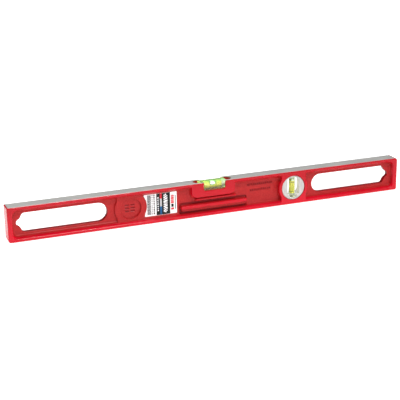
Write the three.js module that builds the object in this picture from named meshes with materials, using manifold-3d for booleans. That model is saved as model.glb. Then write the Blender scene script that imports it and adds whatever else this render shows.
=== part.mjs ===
// Spirit level, 600 mm long: a moulded red I-section body with two handle holes, flush aluminium
// measuring soles, a block vial in the top edge and a tube vial in a round insert for plumb.
//
// Millimetres, +Z up. X runs along the level, Y across it (the front face is at -Y).
// The origin is the centre of the bottom measuring face.

import * as THREE from 'three';
import { mergeVertices } from 'three/addons/utils/BufferGeometryUtils.js';
import Module from 'manifold-3d';

const wasm = await Module();
wasm.setup();

// ---------------------------------------------------------------- driving dimensions

const LENGTH = 600;
const HEIGHT = 50;
const WIDTH = 22;
const MID_Z = HEIGHT / 2;
const FRONT_Y = -WIDTH / 2;
const GAP = 0.3; // clearance between pieces that touch
const FILM_GAP = 0.12; // clearance between the thin pieces inside a vial
const BEYOND = 2; // how far a cutter runs past the surface that it cuts

// I-section body
const CORNERS = { bottomLeft: 3.6, bottomRight: 3.2, topRight: 3.8, topLeft: 1.5 };
const EDGE_CHAMFER = 0.5;
const WEB_DEPTH = 7.5; // from the face of the flanges to the web
const FLANGE_ROOT = 8;
const END_ROOT = 9.3;
const FLANGE_DRAFT = 4.2;
const POCKET_CORNER = 4;

// handle holes, mirror images about the middle of the level
const HANDLE_INNER = 158.5;
const HANDLE_RADIUS = 13.5;
const HANDLE_SHOULDER = 275; // where the outer end starts to narrow
const HANG_X = 282.4;
const HANG_RADIUS = 5.1;

// round features at a quarter of the way in from each end
const STATION_X = 125;
const PAD_OUTER = 19.8; // from the centre to the straight edge nearer the end of the level
const PAD_INNER = 18; // and to the other straight edge
const PAD_RADIUS = 23.4;
const PAD_DEPTH = 4.8;
const PAD_DRAFT = 0.8;
const BOSS_INNER = 19.2; // the straight edge nearer the middle of the level
const BOSS_OUTER = 20.5;
const BOSS_RADIUS = 23.1;
const BOSS_DRAFT = 1.2;
const BLANK_RADIUS = 15.5;

// raised housing round the level vial, finger rib and the groove round it
const HOUSING_LEFT = -34.5;
const HOUSING_RIGHT = 32;
const HOUSING_BOTTOM = 29.5;
const HOUSING_CORNER = 6;
const HOUSING_DRAFT = 2.2;
const APRON_BOTTOM = 26;
const APRON_DEPTH = 3.6;
const RIB_LEFT = -50.3;
const RIB_RIGHT = 49.6;
const RIB_BOTTOM = 14;
const RIB_TOP = 19;
const RIB_DEPTH = 2.6;
const RIB_DRAFT = 2.4;
const RIB_BELLY = 4.6; // how far the lower part of the rib reaches below its crest
const RIB_BELLY_DEPTH = 6.2;
const GROOVE_LEFT = -53;
const GROOVE_RIGHT = 52.3;
const GROOVE_BOTTOM = 6.4;
const GROOVE_TOP = 23;
const GROOVE_DEPTH = 8.6;
const GROOVE_DRAFT = 0.8;

// aluminium soles
const SOLE_THICKNESS = 0.8;
const SOLE_LEFT = -298.2;
const SOLE_RIGHT = 295.6;
const SOLE_HALF_WIDTH = 9.8;

// level vial: a clear block in a slot with round ends, seen through a notch in both faces
const NOTCH_LEFT = -16.3;
const NOTCH_RIGHT = 17.4;
const NOTCH_BOTTOM = 37.5;
const NOTCH_CORNER = 3.5;
const SLOT_HALF = 21.8; // half the straight stretch
const SLOT_RADIUS = 7.5;
const SLOT_BOTTOM = 36.4;
const BLOCK_HALF_LENGTH = 20;
const BLOCK_HALF_WIDTH = 7.1;
const BLOCK_BOTTOM = 37.6;
const BLOCK_TOP = 49.3;
const BED_THICKNESS = 0.6;
const BARREL_Z = 43.6;
const BARREL_RADIUS = 4.6;
const CHAMBER_HALF = 13.6;
const LEVEL_RING_X = 4.7;
const LEVEL_BUBBLE_X = -0.6;
const LEVEL_BUBBLE_HALF = 4.5;
const LEVEL_BUBBLE_RADIUS = 2.3;

// plumb vial: a clear tube in a round insert with a rectangular window
const INSERT_RADIUS = 18;
const INSERT_RECESS = 1; // behind the faces of the body
const INSERT_FRONT = FRONT_Y + INSERT_RECESS;
const INSERT_BACK = -INSERT_FRONT;
const INSERT_CUP_RADIUS = 16.8;
const INSERT_CUP_FLOOR = -2.6;
const CRADLE_HALF_WIDTH = 6.6;
const CRADLE_BACK = 0.8;
const WINDOW_HALF_WIDTH = 9;
const WINDOW_BOTTOM = -10.6; // from the middle of the insert
const WINDOW_TOP = 14.4;
const WINDOW_CORNER = 1.5;
const TUBE_Y = -5;
const TUBE_RADIUS = 4.9;
const TUBE_BORE = 4.3;
const TUBE_HALF_LENGTH = 15.4;
const TUBE_FLOOR = 15.2;
const TUBE_PLUG = 2.6;
const PLUMB_RINGS_MIDDLE = 25.5;
const PLUMB_RING_HALF = 7; // from the middle of the pair to each line
const PLUMB_BUBBLE_RADIUS = 3.1;
const PLUMB_BUBBLE_HALF = 2.3;

// reading lines of both vials
const RING_WIDTH = 0.5;
const RING_THICKNESS = 0.25;

// label
const LABEL_TOP_LEFT = -105.8;
const LABEL_BOTTOM_LEFT = -104;
const LABEL_RIGHT = -55.5;
const LABEL_HALF_HEIGHT = 16.2;
const LABEL_ARC_HALF = 11.5; // half the height of the stretch that follows the pad's bulge
const LABEL_RADIUS = 24.6;
const LABEL_CORNER = 1.2;
const LABEL_THICKNESS = 0.12;
const LABEL_GAP = 0.1;

const ROUND = 40; // sides of a large circle
const SMALL_ROUND = 28; // sides of a circle inside a vial

// ---------------------------------------------------------------- materials

function finish(colour, roughness, metalness, opacity = 1) {
  return new THREE.MeshStandardMaterial({
    color: colour,
    roughness,
    metalness,
    opacity,
    transparent: opacity < 1,
  });
}

const RED_PLASTIC = finish(0xc8202f, 0.35, 0);
const ALUMINIUM = finish(0xbcbcb6, 0.45, 0.9);
const WHITE_PLASTIC = finish(0xe2dfd8, 0.45, 0);
const CLEAR_ACRYLIC = finish(0xe6f0dc, 0.05, 0, 0.35);
const VIAL_FLUID = finish(0xd6de3c, 0.1, 0, 0.8);
const AIR = finish(0xf6fff0, 0.05, 0, 0.5);
const BLACK_INK = finish(0x20221c, 0.5, 0);
const SETTING_COMPOUND = finish(0xa39a82, 0.8, 0);
const LABEL_FILM = finish(0xf2f2f0, 0.4, 0);

// ---------------------------------------------------------------- solids

function toSolid(geometry) {
  const bare = geometry.clone();
  bare.deleteAttribute('normal');
  bare.deleteAttribute('uv');
  const merged = mergeVertices(bare, 1e-4);
  const vertProperties = new Float32Array(merged.attributes.position.array);
  const triVerts = new Uint32Array(merged.index.array);
  return new wasm.Manifold(new wasm.Mesh({ numProp: 3, vertProperties, triVerts }));
}

function toGeometry(solid) {
  const mesh = solid.getMesh();
  const geometry = new THREE.BufferGeometry();
  geometry.setAttribute('position', new THREE.BufferAttribute(mesh.vertProperties, 3));
  geometry.setIndex(new THREE.BufferAttribute(mesh.triVerts, 1));
  geometry.computeVertexNormals();
  return geometry;
}

// The same shape on the other side of the level's middle plane.
function mirroredInY(geometry) {
  const mirrored = (geometry.index ? geometry.toNonIndexed() : geometry.clone()).scale(1, -1, 1);
  const position = mirrored.attributes.position;
  const second = new THREE.Vector3();
  const third = new THREE.Vector3();
  for (let corner = 0; corner < position.count; corner += 3) {
    second.fromBufferAttribute(position, corner + 1);
    third.fromBufferAttribute(position, corner + 2);
    position.setXYZ(corner + 1, third.x, third.y, third.z);
    position.setXYZ(corner + 2, second.x, second.y, second.z);
  }
  return mirrored;
}

// An outline in X and Z, extruded from y0 to y1.
function alongY(outline, y0, y1) {
  const settings = { depth: y1 - y0, bevelEnabled: false, curveSegments: ROUND / 4 };
  return new THREE.ExtrudeGeometry(outline, settings).rotateX(Math.PI / 2).translate(0, y1, 0);
}

// A prism with drafted sides: the outline at narrowY, grown by draft at wideY, then straight for
// a stretch. The other end mirrors the draft.
function drafted(outline, narrowY, wideY, draft, straight) {
  const settings = {
    depth: straight,
    bevelEnabled: true,
    bevelThickness: Math.abs(narrowY - wideY),
    bevelSize: draft,
    bevelSegments: 1,
    curveSegments: ROUND / 4,
  };
  const prism = new THREE.ExtrudeGeometry(outline, settings).rotateX(Math.PI / 2);
  return wideY < narrowY ? prism.translate(0, wideY, 0) : prism.translate(0, wideY + straight, 0);
}

// An outline in X and Y, extruded from z0 to z1.
function alongZ(outline, z0, z1) {
  const settings = { depth: z1 - z0, bevelEnabled: false, curveSegments: ROUND / 4 };
  return new THREE.ExtrudeGeometry(outline, settings).translate(0, 0, z0);
}

function rodX(radius, x0, x1) {
  return new THREE.CylinderGeometry(radius, radius, x1 - x0, SMALL_ROUND)
    .rotateZ(Math.PI / 2)
    .translate((x0 + x1) / 2, 0, 0);
}

function rodY(radius, y0, y1) {
  return new THREE.CylinderGeometry(radius, radius, y1 - y0, ROUND).translate(0, (y0 + y1) / 2, 0);
}

function rodZ(radius, z0, z1) {
  return new THREE.CylinderGeometry(radius, radius, z1 - z0, SMALL_ROUND)
    .rotateX(Math.PI / 2)
    .translate(0, 0, (z0 + z1) / 2);
}

// ---------------------------------------------------------------- outlines

// corner is one radius, or one for each corner.
function roundedRectangle(left, right, bottom, top, corner) {
  const { bottomLeft, bottomRight, topRight, topLeft } = typeof corner === 'number'
    ? { bottomLeft: corner, bottomRight: corner, topRight: corner, topLeft: corner }
    : corner;
  const quarter = Math.PI / 2;
  const outline = new THREE.Shape();
  outline.moveTo(left + bottomLeft, bottom);
  outline.lineTo(right - bottomRight, bottom);
  outline.absarc(right - bottomRight, bottom + bottomRight, bottomRight, -quarter, 0, false);
  outline.lineTo(right, top - topRight);
  outline.absarc(right - topRight, top - topRight, topRight, 0, quarter, false);
  outline.lineTo(left + topLeft, top);
  outline.absarc(left + topLeft, top - topLeft, topLeft, quarter, 2 * quarter, false);
  outline.lineTo(left, bottom + bottomLeft);
  outline.absarc(left + bottomLeft, bottom + bottomLeft, bottomLeft, 2 * quarter, 3 * quarter, false);
  return outline;
}

// A band across the web, with a round bulge on each side.
function padOutline(x, leftHalf, rightHalf, radius, margin) {
  const leftAngle = Math.acos(leftHalf / radius);
  const rightAngle = Math.acos(rightHalf / radius);
  const outline = new THREE.Shape();
  outline.moveTo(x - leftHalf, margin);
  outline.lineTo(x + rightHalf, margin);
  outline.absarc(x, MID_Z, radius, -rightAngle, rightAngle, false);
  outline.lineTo(x + rightHalf, HEIGHT - margin);
  outline.lineTo(x - leftHalf, HEIGHT - margin);
  outline.absarc(x, MID_Z, radius, Math.PI - leftAngle, Math.PI + leftAngle, false);
  return outline;
}

// The right-hand handle hole: a full round inside, a narrowing neck and a hang hole outside.
function handleOutline() {
  const top = MID_Z + HANDLE_RADIUS;
  const bottom = MID_Z - HANDLE_RADIUS;
  const centre = HANDLE_INNER + HANDLE_RADIUS;
  const hangAngle = 1.1;
  const neckX = HANG_X + HANG_RADIUS * Math.cos(hangAngle);
  const neckRise = HANG_RADIUS * Math.sin(hangAngle);
  const cheekX = HANDLE_SHOULDER + 5; // the point where the corner turns into the neck
  const cheekRise = 9.2;
  const waistX = HANG_X - 0.6;
  const waistRise = 6.2;
  const outline = new THREE.Shape();
  outline.moveTo(centre, bottom);
  outline.lineTo(HANDLE_SHOULDER, bottom);
  outline.quadraticCurveTo(cheekX - 1.6, bottom, cheekX, MID_Z - cheekRise);
  outline.quadraticCurveTo(waistX, MID_Z - waistRise, neckX, MID_Z - neckRise);
  outline.absarc(HANG_X, MID_Z, HANG_RADIUS, -hangAngle, hangAngle, false);
  outline.quadraticCurveTo(waistX, MID_Z + waistRise, cheekX, MID_Z + cheekRise);
  outline.quadraticCurveTo(cheekX - 1.6, top, HANDLE_SHOULDER, top);
  outline.lineTo(centre, top);
  outline.absarc(centre, MID_Z, HANDLE_RADIUS, Math.PI / 2, Math.PI * 1.5, false);
  return outline;
}

// The slot in the top edge, seen from above.
function slotOutline(radius) {
  const outline = new THREE.Shape();
  outline.moveTo(-SLOT_HALF, -radius);
  outline.lineTo(SLOT_HALF, -radius);
  outline.absarc(SLOT_HALF, 0, radius, -Math.PI / 2, Math.PI / 2, false);
  outline.lineTo(-SLOT_HALF, radius);
  outline.absarc(-SLOT_HALF, 0, radius, Math.PI / 2, Math.PI * 1.5, false);
  return outline;
}

// A rectangle whose left side follows the round pad next to it.
function labelOutline() {
  const top = MID_Z + LABEL_HALF_HEIGHT;
  const bottom = MID_Z - LABEL_HALF_HEIGHT;
  const angle = Math.asin(LABEL_ARC_HALF / LABEL_RADIUS);
  const arcX = -STATION_X + LABEL_RADIUS * Math.cos(angle);
  const outline = new THREE.Shape();
  outline.moveTo(LABEL_BOTTOM_LEFT + LABEL_CORNER, bottom);
  outline.lineTo(LABEL_RIGHT - LABEL_CORNER, bottom);
  outline.quadraticCurveTo(LABEL_RIGHT, bottom, LABEL_RIGHT, bottom + LABEL_CORNER);
  outline.lineTo(LABEL_RIGHT, top - LABEL_CORNER);
  outline.quadraticCurveTo(LABEL_RIGHT, top, LABEL_RIGHT - LABEL_CORNER, top);
  outline.lineTo(LABEL_TOP_LEFT + LABEL_CORNER, top);
  outline.quadraticCurveTo(LABEL_TOP_LEFT, top, LABEL_TOP_LEFT, top - LABEL_CORNER);
  outline.lineTo(arcX, MID_Z + LABEL_ARC_HALF);
  outline.absarc(-STATION_X, MID_Z, LABEL_RADIUS, angle, -angle, true);
  outline.lineTo(LABEL_BOTTOM_LEFT, bottom + LABEL_CORNER);
  outline.quadraticCurveTo(LABEL_BOTTOM_LEFT, bottom, LABEL_BOTTOM_LEFT + LABEL_CORNER, bottom);
  return outline;
}

// ---------------------------------------------------------------- body

// Everything on one face that differs from a plain slab, as solids to cut away and to add.
function faceFeatures() {
  const webY = FRONT_Y + WEB_DEPTH;
  const grooveY = FRONT_Y + GROOVE_DEPTH;
  const pocket = roundedRectangle(
    -LENGTH / 2 + END_ROOT, LENGTH / 2 - END_ROOT, FLANGE_ROOT, HEIGHT - FLANGE_ROOT, POCKET_CORNER);
  const groove = roundedRectangle(GROOVE_LEFT, GROOVE_RIGHT, GROOVE_BOTTOM, GROOVE_TOP, 3);
  const housing = roundedRectangle(
    HOUSING_LEFT, HOUSING_RIGHT, HOUSING_BOTTOM, HEIGHT - 2, HOUSING_CORNER);
  const apron = roundedRectangle(
    HOUSING_LEFT + 3, HOUSING_RIGHT - 3, APRON_BOTTOM, HEIGHT - 6, HOUSING_CORNER);
  const crestRadius = (RIB_TOP - RIB_BOTTOM) / 2 - 0.05;
  const rib = roundedRectangle(RIB_LEFT, RIB_RIGHT, RIB_BOTTOM, RIB_TOP, crestRadius);
  const belly = roundedRectangle(
    RIB_LEFT + 1.5, RIB_RIGHT, RIB_BOTTOM - RIB_BELLY, RIB_TOP - 2, crestRadius);
  const pad = padOutline(-STATION_X, PAD_OUTER, PAD_INNER, PAD_RADIUS, 5.5);
  const boss = padOutline(STATION_X, BOSS_INNER, BOSS_OUTER, BOSS_RADIUS, 2);
  return {
    cuts: [
      drafted(pocket, webY, FRONT_Y, FLANGE_DRAFT, BEYOND),
      drafted(groove, grooveY, webY, GROOVE_DRAFT, BEYOND),
    ],
    adds: [
      drafted(pad, FRONT_Y + PAD_DEPTH, webY, PAD_DRAFT, 1),
      drafted(boss, FRONT_Y, webY, BOSS_DRAFT, 1),
      drafted(housing, FRONT_Y, webY, HOUSING_DRAFT, 1),
      drafted(apron, FRONT_Y + APRON_DEPTH, webY, 3, 1),
      drafted(rib, FRONT_Y + RIB_DEPTH, grooveY, RIB_DRAFT, 1),
      drafted(belly, FRONT_Y + RIB_BELLY_DEPTH, grooveY, 1, 1),
    ],
  };
}

function makeSlab() {
  const inset = {};
  for (const [corner, radius] of Object.entries(CORNERS)) {
    inset[corner] = radius - EDGE_CHAMFER;
  }
  const side = roundedRectangle(
    -LENGTH / 2 + EDGE_CHAMFER, LENGTH / 2 - EDGE_CHAMFER, EDGE_CHAMFER, HEIGHT - EDGE_CHAMFER, inset);
  return new THREE.ExtrudeGeometry(side, {
    depth: WIDTH - 2 * EDGE_CHAMFER,
    bevelEnabled: true,
    bevelThickness: EDGE_CHAMFER,
    bevelSize: EDGE_CHAMFER,
    bevelSegments: 1,
    curveSegments: 6,
  }).rotateX(Math.PI / 2).translate(0, WIDTH / 2 - EDGE_CHAMFER, 0);
}

// The bed of a sole, GAP larger all round than the strip that lies in it.
function soleGroove() {
  return new THREE.BoxGeometry(
    SOLE_RIGHT - SOLE_LEFT + 2 * GAP, 2 * (SOLE_HALF_WIDTH + GAP), 2 * (SOLE_THICKNESS + GAP))
    .translate((SOLE_LEFT + SOLE_RIGHT) / 2, 0, 0);
}

function makeBody() {
  let body = toSolid(makeSlab());
  const { cuts, adds } = faceFeatures();
  for (const cut of cuts) {
    body = body.subtract(toSolid(cut)).subtract(toSolid(mirroredInY(cut)));
  }
  for (const add of adds) {
    body = body.add(toSolid(add)).add(toSolid(mirroredInY(add)));
  }
  const handle = alongY(handleOutline(), -WIDTH, WIDTH);
  const blank = rodY(BLANK_RADIUS, FRONT_Y - BEYOND, FRONT_Y + WEB_DEPTH)
    .translate(-STATION_X, 0, MID_Z);
  const notch = roundedRectangle(
    NOTCH_LEFT, NOTCH_RIGHT, NOTCH_BOTTOM, HEIGHT + 2 * NOTCH_CORNER, NOTCH_CORNER);
  const openings = [
    handle,
    handle.clone().rotateZ(Math.PI),
    blank,
    mirroredInY(blank),
    rodY(INSERT_RADIUS + GAP, -WIDTH, WIDTH).translate(STATION_X, 0, MID_Z),
    alongY(notch, -WIDTH, WIDTH),
    alongZ(slotOutline(SLOT_RADIUS), SLOT_BOTTOM, HEIGHT + BEYOND),
    soleGroove(),
    soleGroove().translate(0, 0, HEIGHT),
  ];
  for (const opening of openings) {
    body = body.subtract(toSolid(opening));
  }
  return toGeometry(body);
}

// ---------------------------------------------------------------- soles and label

function makeStrip(x0, x1, z0) {
  return new THREE.BoxGeometry(x1 - x0, 2 * SOLE_HALF_WIDTH, SOLE_THICKNESS)
    .translate((x0 + x1) / 2, 0, z0 + SOLE_THICKNESS / 2);
}

// One half of the top sole: it stops at the notch and forks round the end of the slot.
function makeTopSole(x0, x1) {
  const slot = alongZ(slotOutline(SLOT_RADIUS), HEIGHT - BEYOND, HEIGHT + BEYOND);
  const strip = makeStrip(x0, x1, HEIGHT - SOLE_THICKNESS);
  return toGeometry(toSolid(strip).subtract(toSolid(slot)));
}

function makeLabel() {
  const back = FRONT_Y + WEB_DEPTH - LABEL_GAP;
  return alongY(labelOutline(), back - LABEL_THICKNESS, back);
}

// ---------------------------------------------------------------- level vial

function makeBlock() {
  const block = new THREE.BoxGeometry(
    2 * BLOCK_HALF_LENGTH, 2 * BLOCK_HALF_WIDTH, BLOCK_TOP - BLOCK_BOTTOM)
    .translate(0, 0, (BLOCK_TOP + BLOCK_BOTTOM) / 2);
  const bore = rodX(BARREL_RADIUS, -CHAMBER_HALF, BLOCK_HALF_LENGTH + BEYOND)
    .translate(0, 0, BARREL_Z);
  return toGeometry(toSolid(block).subtract(toSolid(bore)));
}

function makeBed() {
  return new THREE.BoxGeometry(
    2 * (BLOCK_HALF_LENGTH - 1), 2 * (BLOCK_HALF_WIDTH - 1), BED_THICKNESS)
    .translate(0, 0, SLOT_BOTTOM + GAP + BED_THICKNESS / 2);
}

function makeLevelPlug() {
  return rodX(BARREL_RADIUS - FILM_GAP, CHAMBER_HALF, BLOCK_HALF_LENGTH - GAP)
    .translate(0, 0, BARREL_Z);
}

// The bubble floats along the top of the barrel, so the fluid is open there.
function makeLevelFluid() {
  const radius = BARREL_RADIUS - FILM_GAP * 2 - RING_THICKNESS;
  const end = CHAMBER_HALF - GAP;
  const fluid = rodX(radius, -end, end).translate(0, 0, BARREL_Z);
  const channelHalf = LEVEL_BUBBLE_RADIUS + GAP;
  const channelBottom = BARREL_Z + levelBubbleRise() - channelHalf;
  const channel = new THREE.BoxGeometry(2 * end + BEYOND, 2 * channelHalf, 2 * BARREL_RADIUS)
    .translate(0, 0, channelBottom + BARREL_RADIUS);
  return toGeometry(toSolid(fluid).subtract(toSolid(channel)));
}

function levelBubbleRise() {
  return BARREL_RADIUS - RING_THICKNESS - FILM_GAP * 3 - LEVEL_BUBBLE_RADIUS;
}

// A lens-ended bubble: a profile from pole to pole, turned about X.
function makeLevelBubble() {
  const steps = 16;
  const profile = [];
  for (let step = 0; step <= steps; step += 1) {
    const angle = (Math.PI * step) / steps;
    const along = -Math.cos(angle) * LEVEL_BUBBLE_HALF;
    const out = step % steps === 0 ? 0 : Math.sqrt(Math.sin(angle)) * LEVEL_BUBBLE_RADIUS;
    profile.push(new THREE.Vector2(out, along));
  }
  return new THREE.LatheGeometry(profile, ROUND / 2)
    .rotateZ(-Math.PI / 2)
    .translate(LEVEL_BUBBLE_X, 0, BARREL_Z + levelBubbleRise());
}

function makeRing(radius) {
  const half = RING_WIDTH / 2;
  const inner = radius - RING_THICKNESS;
  const profile = [
    new THREE.Vector2(inner, -half),
    new THREE.Vector2(radius, -half),
    new THREE.Vector2(radius, half),
    new THREE.Vector2(inner, half),
    new THREE.Vector2(inner, -half),
  ];
  return new THREE.LatheGeometry(profile, SMALL_ROUND);
}

function makeLevelRing(side) {
  return makeRing(BARREL_RADIUS - FILM_GAP)
    .rotateZ(Math.PI / 2)
    .translate(side * LEVEL_RING_X, 0, BARREL_Z);
}

// ---------------------------------------------------------------- plumb vial

// A cup that is open at the back. Its thick floor has the window, with a seat for each end of
// the tube that is open to the front, and a cradle behind each seat.
function makeInsert() {
  const centred = (geometry) => geometry.translate(STATION_X, 0, MID_Z);
  const window = roundedRectangle(
    -WINDOW_HALF_WIDTH, WINDOW_HALF_WIDTH, WINDOW_BOTTOM, WINDOW_TOP, WINDOW_CORNER);
  const cradles = new THREE.BoxGeometry(
    2 * CRADLE_HALF_WIDTH, CRADLE_BACK - INSERT_CUP_FLOOR + 1, 2 * (INSERT_CUP_RADIUS - 0.5))
    .translate(0, (CRADLE_BACK + INSERT_CUP_FLOOR - 1) / 2, 0);
  const seatHalf = TUBE_HALF_LENGTH + GAP;
  const seat = rodZ(TUBE_RADIUS + GAP, -seatHalf, seatHalf).translate(0, TUBE_Y, 0);
  const mouthDepth = TUBE_Y - INSERT_FRONT + BEYOND;
  const mouth = new THREE.BoxGeometry(2 * (TUBE_RADIUS + GAP), mouthDepth, 2 * seatHalf)
    .translate(0, TUBE_Y - mouthDepth / 2, 0);
  const insert = toSolid(centred(rodY(INSERT_RADIUS, INSERT_FRONT, INSERT_BACK)))
    .subtract(toSolid(centred(rodY(INSERT_CUP_RADIUS, INSERT_CUP_FLOOR, INSERT_BACK + BEYOND))))
    .add(toSolid(centred(cradles)))
    .subtract(toSolid(centred(alongY(window, -WIDTH, WIDTH))))
    .subtract(toSolid(centred(seat)))
    .subtract(toSolid(centred(mouth)));
  return toGeometry(insert);
}

function makeTube() {
  const top = MID_Z + TUBE_HALF_LENGTH;
  const tube = rodZ(TUBE_RADIUS, MID_Z - TUBE_HALF_LENGTH, top);
  const bore = rodZ(TUBE_BORE, TUBE_FLOOR, top + BEYOND);
  return toGeometry(toSolid(tube).subtract(toSolid(bore))).translate(STATION_X, TUBE_Y, 0);
}

function plumbCeiling() {
  return MID_Z + TUBE_HALF_LENGTH - TUBE_PLUG;
}

function makePlumbPlug() {
  return rodZ(TUBE_BORE - FILM_GAP, plumbCeiling(), MID_Z + TUBE_HALF_LENGTH)
    .translate(STATION_X, TUBE_Y, 0);
}

// The bubble travels the length of the tube, so the fluid is a deep cup round its path.
function makePlumbFluid() {
  const radius = TUBE_BORE - FILM_GAP * 2 - RING_THICKNESS;
  const cupFloor = TUBE_FLOOR + 2 * GAP;
  const fluid = rodZ(radius, TUBE_FLOOR + GAP, plumbCeiling() - GAP);
  const path = rodZ(PLUMB_BUBBLE_RADIUS + GAP, cupFloor, plumbCeiling() + BEYOND);
  return toGeometry(toSolid(fluid).subtract(toSolid(path))).translate(STATION_X, TUBE_Y, 0);
}

function makePlumbBubble() {
  return new THREE.SphereGeometry(1, ROUND / 2, ROUND / 4)
    .scale(PLUMB_BUBBLE_RADIUS, PLUMB_BUBBLE_RADIUS, PLUMB_BUBBLE_HALF)
    .translate(STATION_X, TUBE_Y, plumbCeiling() - GAP - PLUMB_BUBBLE_HALF);
}

function makePlumbRing(side) {
  return makeRing(TUBE_BORE - FILM_GAP)
    .rotateX(Math.PI / 2)
    .translate(STATION_X, TUBE_Y, PLUMB_RINGS_MIDDLE + side * PLUMB_RING_HALF);
}

// ---------------------------------------------------------------- assembly

function piece(name, geometry, material) {
  const mesh = new THREE.Mesh(geometry, material);
  mesh.name = name;
  return mesh;
}

const group = new THREE.Group();
group.add(piece('body', makeBody(), RED_PLASTIC));
group.add(piece('top_sole_left', makeTopSole(SOLE_LEFT, NOTCH_LEFT), ALUMINIUM));
group.add(piece('top_sole_right', makeTopSole(NOTCH_RIGHT, SOLE_RIGHT), ALUMINIUM));
group.add(piece('bottom_sole', makeStrip(SOLE_LEFT, SOLE_RIGHT, 0), ALUMINIUM));
group.add(piece('side_label', makeLabel(), LABEL_FILM));

const levelVial = new THREE.Group();
levelVial.add(piece('level_vial_block', makeBlock(), CLEAR_ACRYLIC));
levelVial.add(piece('level_vial_bed', makeBed(), SETTING_COMPOUND));
levelVial.add(piece('level_vial_plug', makeLevelPlug(), CLEAR_ACRYLIC));
levelVial.add(piece('level_fluid', makeLevelFluid(), VIAL_FLUID));
levelVial.add(piece('level_ring_left', makeLevelRing(-1), BLACK_INK));
levelVial.add(piece('level_ring_right', makeLevelRing(1), BLACK_INK));
levelVial.add(piece('level_bubble', makeLevelBubble(), AIR));
group.add(levelVial);

const plumbVial = new THREE.Group();
plumbVial.add(piece('plumb_housing', makeInsert(), WHITE_PLASTIC));
plumbVial.add(piece('plumb_vial_tube', makeTube(), CLEAR_ACRYLIC));
plumbVial.add(piece('plumb_vial_plug', makePlumbPlug(), CLEAR_ACRYLIC));
plumbVial.add(piece('plumb_fluid', makePlumbFluid(), VIAL_FLUID));
plumbVial.add(piece('plumb_ring_upper', makePlumbRing(1), BLACK_INK));
plumbVial.add(piece('plumb_ring_lower', makePlumbRing(-1), BLACK_INK));
plumbVial.add(piece('plumb_bubble', makePlumbBubble(), AIR));
group.add(plumbVial);

export default group;
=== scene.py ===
"""Spirit level: the visual model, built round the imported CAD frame.

Lengths are in millimetres in the row frame (+X along the level, the front face at -Y, +Z up, the
origin in the middle of the bottom edge) and become metres where a mesh is made.
"""

import math

import bmesh
import bpy
import numpy as np
from mathutils import Matrix, Vector


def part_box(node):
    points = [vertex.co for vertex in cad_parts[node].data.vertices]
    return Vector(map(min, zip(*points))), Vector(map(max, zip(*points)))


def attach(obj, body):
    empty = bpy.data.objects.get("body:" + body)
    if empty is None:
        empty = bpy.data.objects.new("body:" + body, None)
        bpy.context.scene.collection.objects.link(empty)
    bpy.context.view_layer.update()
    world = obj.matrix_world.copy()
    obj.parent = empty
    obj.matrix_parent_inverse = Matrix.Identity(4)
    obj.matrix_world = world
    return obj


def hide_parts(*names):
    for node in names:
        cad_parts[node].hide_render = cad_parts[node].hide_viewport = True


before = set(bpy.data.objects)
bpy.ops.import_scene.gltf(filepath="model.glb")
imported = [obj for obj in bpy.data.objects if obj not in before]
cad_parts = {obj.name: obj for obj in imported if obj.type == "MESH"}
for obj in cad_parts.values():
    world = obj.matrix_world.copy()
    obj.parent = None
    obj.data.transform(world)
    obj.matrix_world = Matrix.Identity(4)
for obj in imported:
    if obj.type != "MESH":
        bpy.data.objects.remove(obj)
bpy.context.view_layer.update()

MM = 0.001
BODY_LOW, BODY_HIGH = (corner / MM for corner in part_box("body"))
LENGTH = BODY_HIGH.x - BODY_LOW.x
WIDTH = BODY_HIGH.y - BODY_LOW.y
HEIGHT = BODY_HIGH.z - BODY_LOW.z
END_X = LENGTH / 2
FACE_Y = WIDTH / 2
MID_Z = HEIGHT / 2
BEYOND = 2.0  # how far a cutter runs past what it cuts

# the I-section
WEB_DEPTH = 7.5
FLANGE_LIP = 3.8  # from the edge to where the inner slope of a flange leaves the face
END_LIP = 6.8
EDGE_ROUND = 1.5
CORNER_ROUNDS = {"bottom_left": 3.6, "bottom_right": 3.2, "top_right": 4.2, "top_left": 1.8}
POCKET_TURN = 8.5  # the pockets' corners towards the ends of the level
POCKET_TURN_TOP_LEFT = 9.5
BOSS_TURN_LOW = 2.2
BOSS_TURN_HIGH = 3.0
TIGHT_TURN = 1.2

# how a wall drops from a face: how far it leans, and the rounding at its top and foot
FLANGE_WALL = {"lean": 4.2, "lip": 1.8, "foot": 1.6}
END_WALL = {"lean": 1.6, "lip": 2.4, "foot": 1.8}
BOSS_WALL = {"lean": 0.5, "lip": 0.9, "foot": 1.0}
HOUSING_WALL = {"lean": 2.2, "lip": 0.9, "foot": 1.8}
PAD_WALL = {"lean": 0.5, "lip": 0.7, "foot": 0.8}
BLANK_WALL = {"lean": 0.2, "lip": 0.5, "foot": 0.6}
GROOVE_WALL = {"lean": 1.5, "lip": 0.4, "foot": 0.8}
APRON_WALL = {"lean": 1.5, "lip": 0.8, "foot": 0.8}
BELLY_WALL = {"lean": 0.8, "lip": 1.2, "foot": 0.6}
RIB_WALL = {"lean": 0.9, "lip": 0.9, "foot": 0.6}

# stations of the round features
STATION_X = 125.0
BOSS_INNER = 19.2  # from the centre to the straight edge nearer the middle of the level
BOSS_OUTER = 20.4
BOSS_RADIUS = 23.1
PAD_OUTER = 19.8
PAD_INNER = 18.0
PAD_RADIUS = 23.4
PAD_LOW = 6.0  # from the level's bottom to the pad's
PAD_DEPTH = 4.8
BLANK_RADIUS = 15.5
INSERT_BORE = 18.5
BORE_LIP = 0.4

# handle holes
HANDLE_INNER = 158.5
HANDLE_RADIUS = 13.5
HANDLE_SHOULDER = 275.0
HANG_X = 281.8
HANG_RADIUS = 5.1
HANG_SWING = 1.1  # how far its round end goes each way, in radians
CHEEK = {"out": 5.0, "half_height": 9.2, "bend": 1.6}  # where the neck starts, past the shoulder
WAIST = {"in": 0.6, "half_height": 6.2}  # what the neck curves towards, before the hang hole
HOLE_LIP = 1.2

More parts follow.
